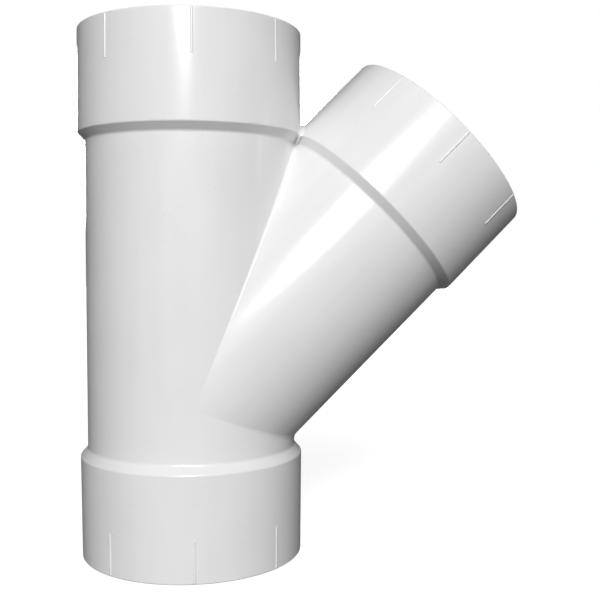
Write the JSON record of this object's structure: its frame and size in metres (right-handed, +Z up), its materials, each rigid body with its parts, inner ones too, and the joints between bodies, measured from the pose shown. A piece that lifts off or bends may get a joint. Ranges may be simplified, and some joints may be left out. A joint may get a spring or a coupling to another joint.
{
  "type": "lateral wye fitting",
  "caption": "White moulded drain pipe wye: a straight run with a solvent-weld socket at each end and an equal branch socket rising at 45 degrees.",
  "frame": {"origin": "centre of the lower run socket's mouth, in the plane of the rim that the fitting stands on", "axes": "+Z up along the run to the upper socket, +X towards the side the branch leans to, +Y completes the right-handed frame"},
  "size_m": [0.365, 0.183, 0.4276],
  "materials": {
    "white_plastic": "gloss"
  },
  "bodies": {
    "root": {"wye_fitting": "white_plastic"}
  },
  "joints": []
}
